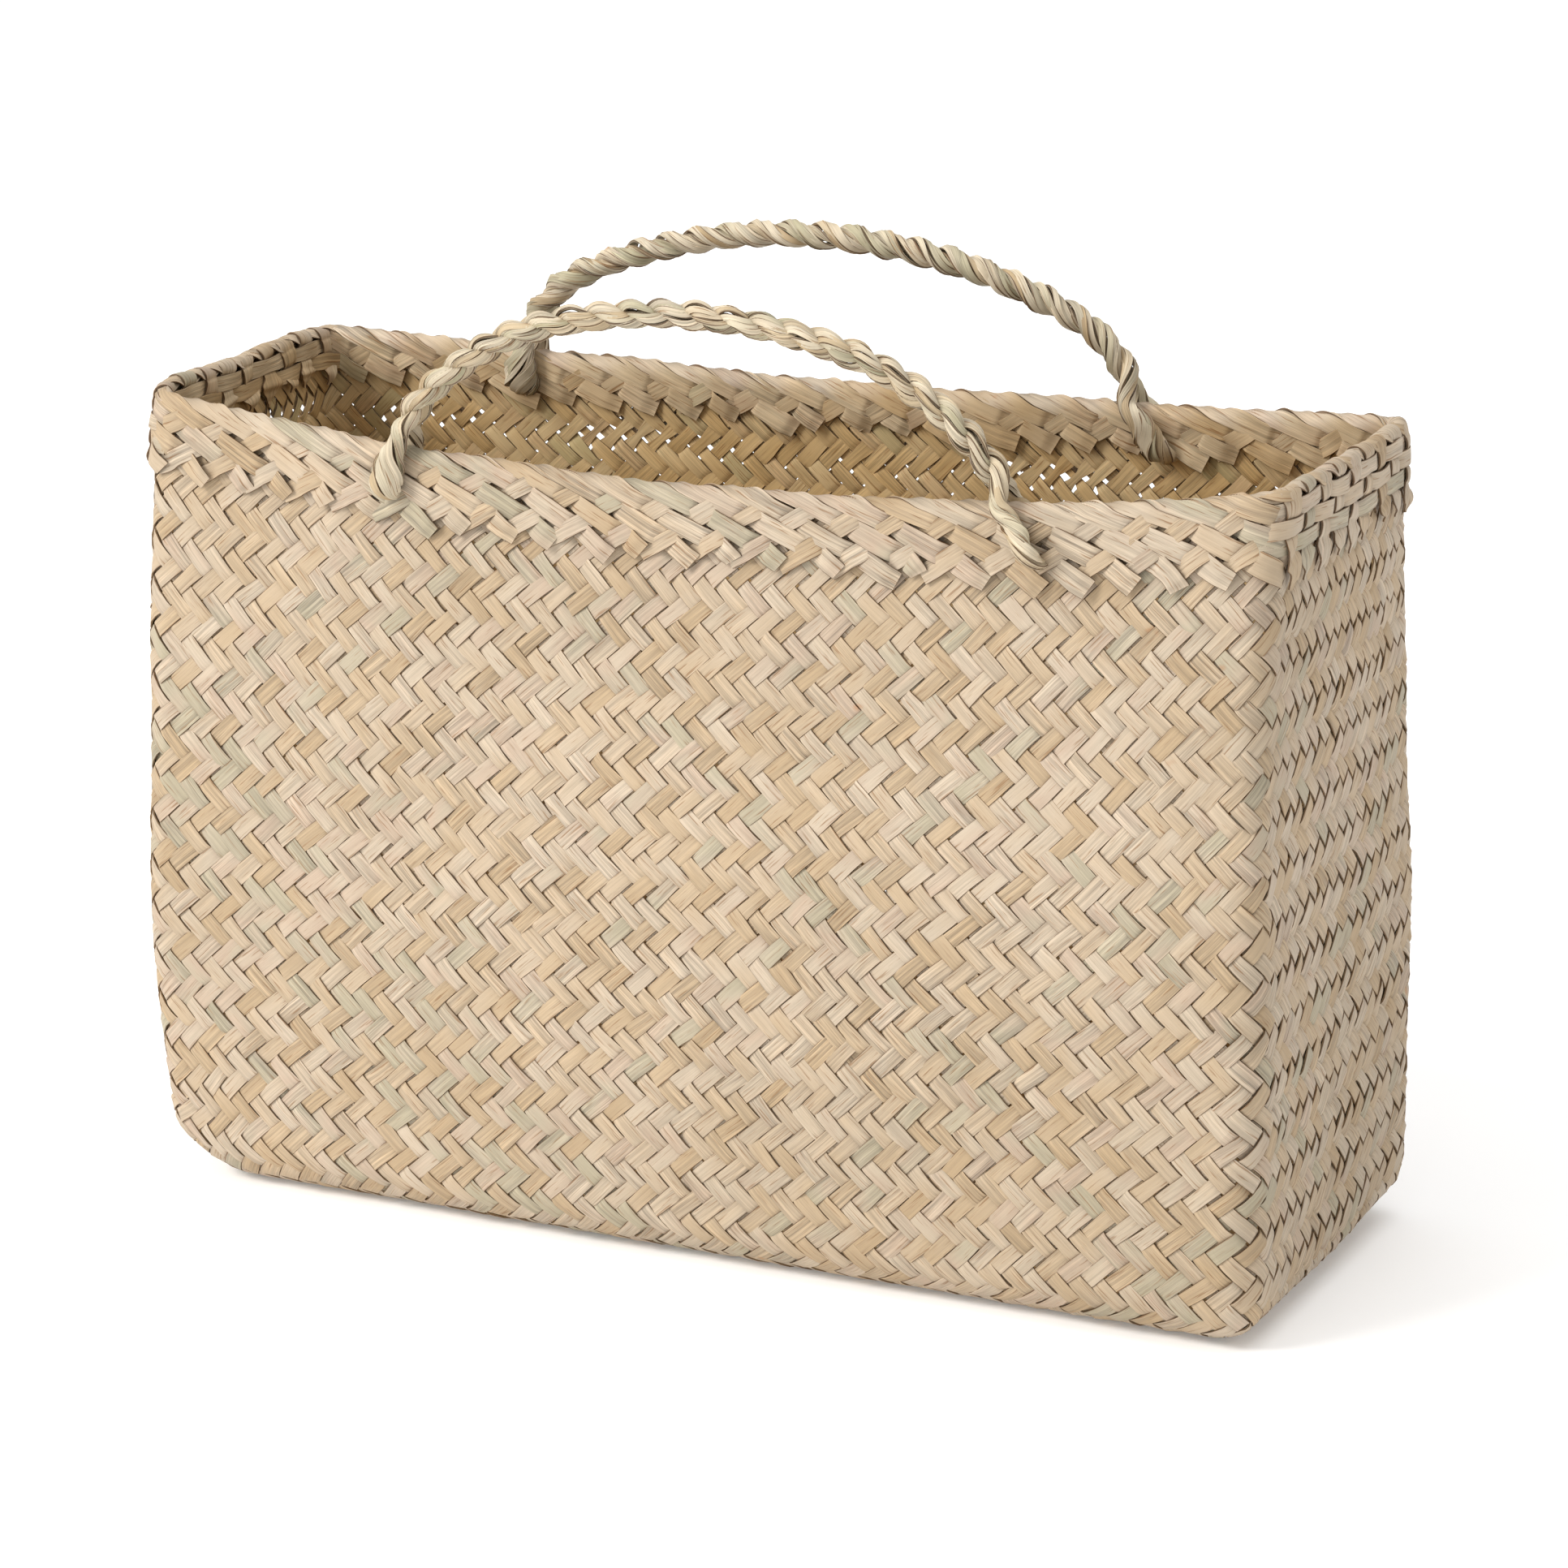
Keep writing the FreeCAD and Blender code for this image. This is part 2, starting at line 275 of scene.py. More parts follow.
class Strips:
    """A batch of strips, with the values that their material reads."""

    def __init__(self, rows, half_width, tone, inner=0.0):
        count = rows.shape[0]
        self.rows = rows
        middle = rows.mean(axis=2)
        step = np.linalg.norm(np.diff(middle, axis=1), axis=-1)
        along = np.concatenate([np.zeros((count, 1)), np.cumsum(step, axis=1)], axis=1)
        along += random.uniform(0, 3, (count, 1))
        self.fibre = np.empty(rows.shape)
        self.fibre[..., 0] = along[..., None]
        self.fibre[..., 1] = half_width[..., None] * SECTION_ACROSS
        self.fibre[..., 2] = random.uniform(0, 40, (count, 1, 1))
        self.tone = np.empty(rows.shape)
        self.tone[..., 0] = tone[..., None]
        # Second value: where the material paints shade along the strip's edges, partly edge dirt
        self.tone[..., 1] = SECTION_EDGE_SHADE
        self.tone[..., 2] = SECTION_INNER if inner is None else inner


def whole(strips):
    """Strips with all their lengths kept."""
    count, samples = strips.rows.shape[:2]
    return strips, np.ones((count, samples - 1), bool)


def build(name, parts, material, body, nodes):
    """One mesh from (strips, keep) pairs: keep says which lengths between samples belong to this piece."""
    points, fibres, tones, quads, caps = [], [], [], [], []
    offset = 0
    for strips, keep in parts:
        count, samples = strips.rows.shape[:2]
        used = np.zeros((count, samples), bool)
        used[:, :-1] |= keep
        used[:, 1:] |= keep
        number = np.full(count * samples, -1)
        number[used.ravel()] = np.arange(used.sum())
        number = (number.reshape(count, samples)[..., None] * CORNERS + np.arange(CORNERS)) + offset
        strip, k = np.nonzero(keep)
        here, there = number[strip, k], number[strip, k + 1]
        quads.append(np.stack([here, there, np.roll(there, -1, axis=1), np.roll(here, -1, axis=1)],
                              axis=-1).reshape(-1, 4))
        edge = np.zeros((count, 1), bool)
        padded = np.concatenate([edge, keep, edge], axis=1)
        caps.append(number[padded[:, 1:] & ~padded[:, :-1]])
        caps.append(number[padded[:, :-1] & ~padded[:, 1:]][:, ::-1])
        points.append(strips.rows[used].reshape(-1, 3))
        fibres.append(strips.fibre[used].reshape(-1, 3))
        tones.append(strips.tone[used].reshape(-1, 3))
        offset += used.sum() * CORNERS
    points, quads, caps = np.concatenate(points), np.concatenate(quads), np.concatenate(caps)
    mesh = bpy.data.meshes.new(name)
    mesh.vertices.add(len(points))
    mesh.vertices.foreach_set("co", points.astype(np.float32).ravel())
    mesh.loops.add(quads.size + caps.size)
    mesh.loops.foreach_set("vertex_index", np.concatenate([quads.ravel(), caps.ravel()]).astype(np.int32))
    mesh.polygons.add(len(quads) + len(caps))
    starts = np.concatenate([np.arange(len(quads)) * 4, quads.size + np.arange(len(caps)) * CORNERS])
    mesh.polygons.foreach_set("loop_start", starts.astype(np.int32))
    mesh.update(calc_edges=True)
    flat = np.concatenate([np.zeros(len(quads), bool), np.ones(len(caps), bool)])
    mesh.polygons.foreach_set("use_smooth", ~flat)
    ends = np.empty(len(mesh.edges) * 2, np.int32)
    mesh.edges.foreach_get("vertices", ends)
    corner = ends.reshape(-1, 2) % CORNERS
    rim = (corner[:, 0] == corner[:, 1]) & (corner[:, 0] % 2 == 1)
    mesh.attributes.new("sharp_edge", "BOOLEAN", "EDGE").data.foreach_set("value", rim)
    for label, values in (("fibre", fibres), ("tone", tones)):
        attribute = mesh.attributes.new(label, "FLOAT_VECTOR", "POINT")
        attribute.data.foreach_set("vector", np.concatenate(values).astype(np.float32).ravel())
    mesh.materials.append(material)
    piece = bpy.data.objects.new(name, mesh)
    bpy.context.scene.collection.objects.link(piece)
    if isinstance(body, str):
        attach(piece, body)
    else:
        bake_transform(piece)
    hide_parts(*nodes)


# ---------------------------------------------------------------- materials

def linear(value):
    """Light value of a screen value, 0 to 255."""
    share = value / 255
    return share / 12.92 if value <= 10 else ((share + 0.055) / 1.055) ** 2.4


def srgb(r, g, b):
    """A colour given as screen values, 0 to 255."""
    return linear(r), linear(g), linear(b), 1.0


OUTSIDE_TINTS = [(0.0, srgb(217, 189, 152)), (0.22, srgb(226, 200, 166)), (0.42, srgb(229, 206, 177)),
                 (0.6, srgb(233, 214, 189)), (0.76, srgb(226, 201, 176)), (0.9, srgb(219, 204, 178)),
                 (1.0, srgb(211, 198, 170))]
ROPE_TINTS = [(0.0, srgb(216, 189, 148)), (0.3, srgb(238, 216, 180)), (0.55, srgb(252, 236, 208)),
              (0.8, srgb(238, 224, 194)), (1.0, srgb(214, 204, 170))]
BRIGHTNESS = 0.652           # every tint is multiplied by this
INSIDE_TINT = (1.22, 1.11, 0.80, 1.0)
WORN_TINT = srgb(244, 243, 240)
CRACK_BROWN = srgb(132, 96, 60)
SPOT_BROWN = srgb(168, 112, 62)
# Painted shade for the dark gaps along the strips' edges, partly dirt on the leaf edges
EDGE_SHADE_AND_DIRT = srgb(88, 62, 38)
WARM_WHITE = (1.0, 0.985, 0.96)


class Nodes:
    """Short calls for building a node tree."""

    def __init__(self, material):
        material.use_nodes = True
        self.tree = material.node_tree
        self.tree.nodes.clear()

    def add(self, kind, inputs=None, **settings):
        node = self.tree.nodes.new(kind)
        for key, value in settings.items():
            setattr(node, key, value)
        for key, value in (inputs or {}).items():
            if isinstance(value, bpy.types.NodeSocket):
                self.tree.links.new(value, node.inputs[key])
            else:
                node.inputs[key].default_value = value
        return node

    def math(self, operation, a, b=0.0, c=0.0):
        return self.add("ShaderNodeMath", {0: a, 1: b, 2: c}, operation=operation).outputs[0]

    def noise(self, vector, scale, detail=2.0, rough=0.5):
        return self.add("ShaderNodeTexNoise", {"Vector": vector, "Scale": scale, "Detail": detail,
                                               "Roughness": rough}).outputs["Fac"]

    def stretch(self, vector, scale, shift=(0.0, 0.0, 0.0)):
        return self.add("ShaderNodeMapping", {"Vector": vector, "Scale": scale, "Location": shift}).outputs[0]

    def between(self, value, low, high, to_low=0.0, to_high=1.0):
        return self.add("ShaderNodeMapRange", {"Value": value, "From Min": low, "From Max": high,
                                               "To Min": to_low, "To Max": to_high}).outputs[0]

    def ramp(self, value, stops):
        node = self.add("ShaderNodeValToRGB", {"Fac": value})
        ramp = node.color_ramp
        while len(ramp.elements) < len(stops):
            ramp.elements.new(0.5)
        for element, (place, colour) in zip(ramp.elements, stops):
            element.position = place
            element.color = colour
        return node.outputs[0]

    def mix(self, factor, a, b, blend="MIX"):
        """A colour mix. Sockets 6 and 7 of the node are its two colours."""
        node = self.add("ShaderNodeMix", data_type="RGBA", blend_type=blend)
        for socket, value in ((node.inputs[0], factor), (node.inputs[6], a), (node.inputs[7], b)):
            if isinstance(value, bpy.types.NodeSocket):
                self.tree.links.new(value, socket)
            else:
                socket.default_value = value
        return node.outputs[2]


def leaf_material(name, tints, streaks, roughness=0.62):
    """Dried flat leaf: fibres along each strip, a tint of its own, painted shade along its edges for the
    shadowed gaps between strips (partly dirt on the leaf edges) and a golden inner face.
    """
    material = bpy.data.materials.new(name)
    nodes = Nodes(material)
    fibre = nodes.add("ShaderNodeAttribute", attribute_name="fibre").outputs["Vector"]
    tone = nodes.add("ShaderNodeAttribute", attribute_name="tone").outputs["Vector"]
    own_tint, edge_shade_and_dirt, at_inside = nodes.add("ShaderNodeSeparateXYZ", {0: tone}).outputs
    patch = nodes.noise(nodes.stretch(fibre, (38.0, 60.0, 1.0)), 1.0, 2.0)
    fine = nodes.noise(nodes.stretch(fibre, (60.0, 3200.0, 1.0)), 1.0, 3.0, 0.6)
    broad = nodes.noise(nodes.stretch(fibre, (26.0, 1000.0, 1.0), (7.0, 3.0, 0.0)), 1.0, 2.0)
    crack = nodes.noise(nodes.stretch(fibre, (90.0, 1900.0, 1.0), (3.0, 9.0, 5.0)), 1.0, 2.0)
    tint = nodes.math("ADD", own_tint, nodes.between(patch, 0.25, 0.75, -0.22, 0.22))
    colour = nodes.ramp(tint, tints)
    own = nodes.noise(nodes.stretch(fibre, (9.0, 0.0, 3.0), (5.0, 0.0, 2.0)), 1.0, 1.0)
    depth = nodes.between(own, 0.35, 0.65, 0.35, 1.5)
    line = nodes.math("ADD", nodes.between(fine, 0.3, 0.7, -0.30 * streaks, 0.18 * streaks),
                      nodes.between(broad, 0.3, 0.7, -0.26 * streaks, 0.16 * streaks))
    light = nodes.math("MULTIPLY_ADD", nodes.math("MULTIPLY", line, depth), BRIGHTNESS, BRIGHTNESS)
    grey = nodes.add("ShaderNodeCombineColor", {0: light, 1: light, 2: light}).outputs[0]
    colour = nodes.mix(1.0, colour, grey, "MULTIPLY")
    colour = nodes.mix(nodes.between(crack, 0.61, 0.69, 0.0, 0.9 * streaks), colour, CRACK_BROWN)
    golden = nodes.mix(1.0, colour, INSIDE_TINT, "MULTIPLY")
    colour = nodes.mix(nodes.between(at_inside, 0.4, 1.0), colour, golden)
    basket_place = nodes.add("ShaderNodeTexCoord").outputs["Object"]
    spot = nodes.noise(basket_place, 42.0, 3.0, 0.6)
    worn = nodes.between(nodes.noise(basket_place, 9.0, 2.0), 0.35, 0.65)
    colour = nodes.mix(worn, colour, nodes.mix(1.0, colour, WORN_TINT, "MULTIPLY"))
    colour = nodes.mix(nodes.between(spot, 0.715, 0.76, 0.0, 0.75), colour, SPOT_BROWN)
    # Painted shade: the strips' edges darkened to stand in for the shadowed gaps between them, partly dirt on
    # the edges
    colour = nodes.mix(nodes.between(edge_shade_and_dirt, 0.0, 0.68, 0.0, 0.92), colour, EDGE_SHADE_AND_DIRT)
    height = nodes.math("ADD", nodes.math("MULTIPLY", fine, 0.5), nodes.math("MULTIPLY", broad, 0.8))
    bump = nodes.add("ShaderNodeBump", {"Strength": 0.55, "Distance": 0.00022, "Height": height}).outputs[0]
    rough = nodes.between(broad, 0.3, 0.7, roughness - 0.07, roughness + 0.09)
    shader = nodes.add("ShaderNodeBsdfPrincipled", {"Base Color": colour, "Roughness": rough, "Normal": bump,
                                                    "Specular IOR Level": 0.32})
    nodes.add("ShaderNodeOutputMaterial", {"Surface": shader.outputs[0]})
    return material


plait_leaf = leaf_material("plait_leaf", OUTSIDE_TINTS, 0.75)
border_leaf = leaf_material("border_leaf", OUTSIDE_TINTS, 0.85)
rope_leaf = leaf_material("rope_leaf", ROPE_TINTS, 0.9, roughness=0.58)


# ---------------------------------------------------------------- plait of the walls and base

# Where a strip is sampled along a float, which spans two crossings
FLOAT_SAMPLES = np.array([0.0, 0.14, 0.34, 1.0, 1.66, 1.86])


def float_places(low, high, first):
    """Sample places from low to high, closest together where a strip dives at first, first + 2, ..."""
    start = math.floor((low - first) / 2)
    count = math.ceil((high - low) / 2) + 2
    places = (first + 2 * (start + np.arange(count))[:, None] + FLOAT_SAMPLES).ravel()
    inside = places[(places > low + 0.03) & (places < high - 0.03)]
    return np.concatenate([[low], inside, [high]])


def tones(count, samples, middle=0.45, spread=0.24):
    """Each strip's own tint, with a few odd greenish or honey ones."""
    value = np.clip(random.normal(middle, spread, (count, 1)), 0.05, 0.95)
    odd = random.uniform(0, 1, (count, 1))
    value = np.where(odd < 0.05, 0.95, np.where(odd > 0.95, 0.05, value))
    return np.repeat(value, samples, axis=1)


def plait(rising, surface, numbers, q_low, q_high):
    """Strips of one direction of the twill on a surface, and the p and q of their samples."""
    if rising:
        places = float_places(0.5 + 2 * q_low, 0.5 + 2 * q_high, 0.0)
        turns = places
    else:
        places = float_places(0.5 - 2 * q_high, 0.5 - 2 * q_low, 1.0)
        turns = places + 3
    count = len(numbers)
    t = np.repeat(places[None, :], count, axis=0)
    own = numbers[:, None] + 0.5 + 0.05 * drift(t, count, 9.0) + 0.03 * drift(t, count, 3.0)
    other = numbers[:, None] + t
    u, v = (own, other) if rising else (other, own)
    p, q = (u + v) / 2, (v - u) / 2
    if surface is wall_frame:
        calm = smooth((q + EDGE_SPAN) / 3)
        p, q = p + WARP * warp_round(p, q) * calm, q + WARP * warp_up(p, q) * calm
    point, normal, around, upwards = surface(p, q)
    over = steepen(np.sin(math.pi * turns / 2), DIVE)
    direction = around + upwards if rising else around - upwards
    width = np.linalg.norm(np.cross(around, upwards), axis=-1) / np.linalg.norm(direction, axis=-1)
    fill = STRIP_FILL + 0.05 * drift(t, count, 7.0) + 0.06 * drift(t, count, 2.6)
    if surface is wall_frame:
        at_back = np.mod(p, LOOP) > HALF_LOOP
        loose = smooth((q - RISE + LOOSE_DEPTH) / 3) * np.where(at_back, 1.0, LOOSE_AT_FRONT)
        at_holes = np.exp(-((q - RISE + HOLE_DEPTH) / 0.5) ** 2) * smooth(0.55 + 0.9 * rim_wave(p, 0.0))
        fill = fill - loose * np.clip(0.03 + 0.14 * drift(t, count, 2.6), 0.0, 0.25)
        fill = fill - loose * at_holes * np.clip(0.34 + 0.30 * drift(t, count, 3.4), 0.0, 0.56)
    half_width = 0.5 * width * fill
    bulge = 1 + 0.25 * drift(t, count, 3.0)
    raised = 0.0
    if surface is wall_frame:
        from_middle = np.abs(point[..., 0])
        bulge = bulge + 0.7 * smooth((from_middle - FOOT_HALF_WIDTH + 0.009) / 0.006)
        at_end = np.where(from_middle > FOOT_HALF_WIDTH - EDGE_TURN - 0.016, 1.0, 0.0)
        raised = at_end * TAIL_RISE * smooth((-q - EDGE_SPAN + 0.7) / 0.7)
    lift = STRIP_LIFT * over[None, :] * bulge - raised
    roll = 0.11 * drift(t, count, 2.6)
    centre = point + normal * lift[..., None]
    rows = settle(sections(centre, normal, half_width, np.full_like(half_width, STRIP_THICK), roll))
    strips = Strips(rows, half_width, tones(count, rows.shape[1]), inner=None)
    return strips, p, q


def middles(values):
    """Values halfway between a strip's samples."""
    return (values[:, 1:] + values[:, :-1]) / 2


def build_plait():
    """The walls, the upright corners and the base."""
    numbers = np.arange(LOOP)
    top = RISE - 0.75
    families = {}
    for word, rising in (("rising", True), ("falling", False)):
        strips, p, q = plait(rising, wall_frame, numbers, -EDGE_SPAN - TAIL, top)
        families[word] = (strips, np.mod(middles(p), LOOP), middles(q))
    edges = np.cumsum([0] + 2 * [SIDE_SPAN, CORNER_SPAN, END_SPAN, CORNER_SPAN])
    names = ("front_wall", "front_right_corner", "right_wall", "back_right_corner", "back_wall",
             "back_left_corner", "left_wall", "front_left_corner")
    for name, start, stop in zip(names, edges, edges[1:]):
        long_side = name in ("front_wall", "back_wall")
        parts = {}
        for word, (strips, p, q) in families.items():
            keep = (p >= start) & (p < stop)
            if long_side:
                keep &= q >= -EDGE_SPAN
            parts[word] = (strips, keep)
        if long_side:
            for word, part in parts.items():
                build(f"{name}_{word}_strips", [part], plait_leaf, "basket", [name])
        else:
            build(f"{name}_strips", list(parts.values()), plait_leaf, "basket", [name])
    parts = []
    numbers = np.arange(-22, 70)
    for rising in (True, False):
        strips, p, _ = plait(rising, base_frame, numbers, -BASE_SPAN + EDGE_SPAN, -EDGE_SPAN)
        p = middles(p)
        parts.append((strips, (p > -0.7) & (p < SIDE_SPAN + 0.7)))
    build("base_mat_strips", parts, plait_leaf, "basket", ["base_mat"])


# ---------------------------------------------------------------- border

BORDER_GAP = WALL / 2 + 0.0009       # from the wall's middle to the middle of the border's strips
BORDER_ROW = 0.00305                 # half a crossing, down the border
BORDER_LIFT = 0.00055                # how far a strip of the border rises and dives at each crossing
BORDER_THICK = 0.00042               # half the thickness of a strip of the border
CORNER_TUCK = 0.0011                 # how far a long border's strips dive where they end at a corner
UNDER_HALF = 0.42                    # half the length of a dive under a short strip, in rows
UNDER_SOFT = 0.11
SHORT_HALF_WIDTH = 0.0029
SHORT_SLOPE = 0.62                   # pitches that a short strip goes back for each row down
TAB_RISE = 0.0009                    # how far a tab's middle stands off before its tip folds back
END_COUNT = 9                        # upright strips over each end's rim
END_ROW = 0.0053                     # distance between an end's level strips
END_MARGIN = 0.75                    # how far an end's weave stops short of the corners' far ends, in pitches
END_LIFT = BORDER_LIFT * 1.2         # how far its strips rise and dive
END_OUT = 0.00025                    # how much further out than the long borders it lies
END_TUCK = 0.0008
CREST = BORDER_GAP * math.pi / 2     # from the top of the rim to where its round turn ends, along the border
OUTER_ROWS = (3.0, 6.0)              # where the short strips show, in half crossings down from the crest
INNER_ROWS = (3.0,)
TABS = (8.5, 5.4)                    # where the folded ends are, outside and inside
OVERLAP = 1.75                       # how far a long border runs into the corners, in pitches


def border_frame(p, s):
    """Point, normal and pitch round the basket of the border, s metres out and down from the rim's crest."""
    over = np.clip(s / BORDER_GAP, -math.pi / 2, math.pi / 2)
    below = BORDER_GAP * (1 - np.cos(over)) + np.clip(np.abs(s) - CREST, 0, None)
    drop = below + BORDER_THICK + BORDER_LIFT
    point, normal, around, upwards = wall_frame(p, RISE * (1 - drop / (RIM_HEIGHT - EDGE_TURN)))
    up = unit(upwards)
    point = point + normal * (BORDER_GAP * np.sin(over))[..., None]
    facing = unit(normal * np.sin(over)[..., None] + up * np.cos(over)[..., None])
    return point, facing, np.linalg.norm(around, axis=-1)


def border_rows(p, s, half_width, lift, roll, thin):
    """Cross sections that bend with the border, so that wide strips fold over the crest."""
    pitch = border_frame(p, s)[2]
    along_p, along_s = np.gradient(p, axis=1) * pitch, np.gradient(s, axis=1)
    length = np.maximum(np.hypot(along_p, along_s), 1e-9)
    reach = half_width[..., None] * SECTION_ACROSS
    p_there = p[..., None] + (along_s / length / pitch)[..., None] * reach
    s_there = s[..., None] - (along_p / length)[..., None] * reach
    point, normal, _ = border_frame(p_there, s_there)
    thick = BORDER_THICK * (1 - np.broadcast_to(thin, lift.shape))[..., None]
    height = lift[..., None] + thick * SECTION_HEIGHT + roll[..., None] * reach
    return point + normal * height[..., None]


def border_strips(p, s, half_width, lift, roll, tone, thin=0.0):
    """A batch of the border's strips. Thin takes away a share of their thickness."""
    strips = Strips(border_rows(p, s, half_width, lift, roll, thin), half_width, tone)
    strips.tone[..., 2] = 0.4 + 0.3 * smooth((-s - 0.001) / 0.004)[..., None]
    return strips


def pulse(x, centre, half, soft):
    """1 within half of the centre and 0 further out, with soft flanks."""
    return 0.5 * (np.tanh((x - centre + half) / soft) - np.tanh((x - centre - half) / soft))


def tuck(p, low, high, span=1.0):
    """0 between two ends, rising to 1 at each: where strips dive under their neighbours round the corner."""
    return smooth(np.maximum(low + span - p, p - high + span) / span)


def lean(t):
    """How far round the basket a slanting strip has gone after t rows: it is steeper near its ends."""
    rows = np.abs(t)
    gone = np.minimum(rows, 3.0) + 0.84 * np.clip(rows - 3.0, 0, 3.5) + 0.60 * np.maximum(rows - 6.5, 0)
    return np.sign(t) * gone


def dives(t, rows):
    """1 where a slanting strip passes under the short ones of the given rows, and 0 elsewhere."""
    return sum(pulse(t, row, UNDER_HALF, UNDER_SOFT) for row in rows)


def long_border(name, start, nodes):
    """Slanting strips that come over the rim, pass under short ones and end in folded tabs."""
    low, high = start - OVERLAP, start + SIDE_SPAN + OVERLAP
    count = int(SIDE_SPAN / 2) + 12
    numbers = np.arange(count)[:, None] - 6
    share = np.linspace(-1, 1, 121)
    outer_end = TABS[0] + random.uniform(-0.9, 0.5, (count, 1))
    inner_end = TABS[1] + random.uniform(-0.5, 0.5, (count, 1))
    t = np.where(share > 0, share * outer_end, share * inner_end)
    end = np.where(t > 0, outer_end, inner_end)
    tip = np.clip(1 - (end - np.abs(t)) / 1.9, 0, 1)
    p = start + 2 * (numbers + 0.5) + lean(t) + 0.12 * drift(t, count, 6.0)
    p = p + 0.12 * jitter(count)
    p = p - np.sign(t) * random.uniform(-0.1, 0.42, (count, 1)) * tip ** 2
    s = t * BORDER_ROW
    under = dives(t, OUTER_ROWS) + dives(-t, INNER_ROWS)
    pitch = border_frame(p, s)[2]
    width = 2 * pitch * BORDER_ROW / np.hypot(pitch, BORDER_ROW)
    at_crest = np.exp(-(t / 1.6) ** 2)
    half_width = 0.5 * width * (1.08 + 0.10 * at_crest + 0.10 * drift(t, count, 3.5))
    narrowing = random.uniform(-0.08, 0.2, (count, 1)) * tip ** 2
    half_width = half_width * (1 + 0.10 * smooth((np.abs(t) - 3) / 2) - narrowing)
    curl = random.uniform(0.2, 1.0, (count, 1))
    rise, fold = TAB_RISE * curl, 0.0003 + 0.0013 * (1 - curl)
    lift = BORDER_LIFT * (1 - 2.1 * under) * (1 - 0.3 * at_crest) + 0.00022 * drift(t, count, 3.0)
    lift = lift + rise * smooth(tip * 1.6) - fold * smooth((tip - 0.6) / 0.4)
    lift = lift - CORNER_TUCK * tuck(p, low, high)
    roll = 0.13 * drift(t, count, 3.0) + 0.05 * (1 - at_crest) + random.uniform(-0.3, 0.25, (count, 1)) * tip
    tone = tones(count, t.shape[1], 0.5, 0.18)
    long_strips = border_strips(p, s, half_width, lift, roll, tone, 0.6 * smooth(tip))
    parts = [(long_strips, (middles(p) > low) & (middles(p) < high))]
    for side, rows in ((1, OUTER_ROWS), (-1, INNER_ROWS)):
        for row in rows:
            t = np.repeat(np.linspace(-1.9, 1.9, 19)[None, :], count, axis=0)
            middle = start + 2 * (numbers + 0.5) + lean(side * row) + 0.12 * jitter(count)
            p = middle - SHORT_SLOPE * t
            s = (side * row + t) * BORDER_ROW
            half_width = SHORT_HALF_WIDTH * (1 + 0.16 * jitter(count) + 0.06 * drift(t, count, 1.5))
            lift = BORDER_LIFT * (2.1 * pulse(t, 0, 0.80, 0.16) - 1.2) - CORNER_TUCK * tuck(p, low, high)
            roll = 0.12 * drift(t, count, 2.0)
            short = border_strips(p, s, half_width, lift, roll, tones(count, t.shape[1], 0.42, 0.2))
            parts.append((short, (middles(p) > low) & (middles(p) < high)))
    build(name, parts, border_leaf, "basket", nodes)


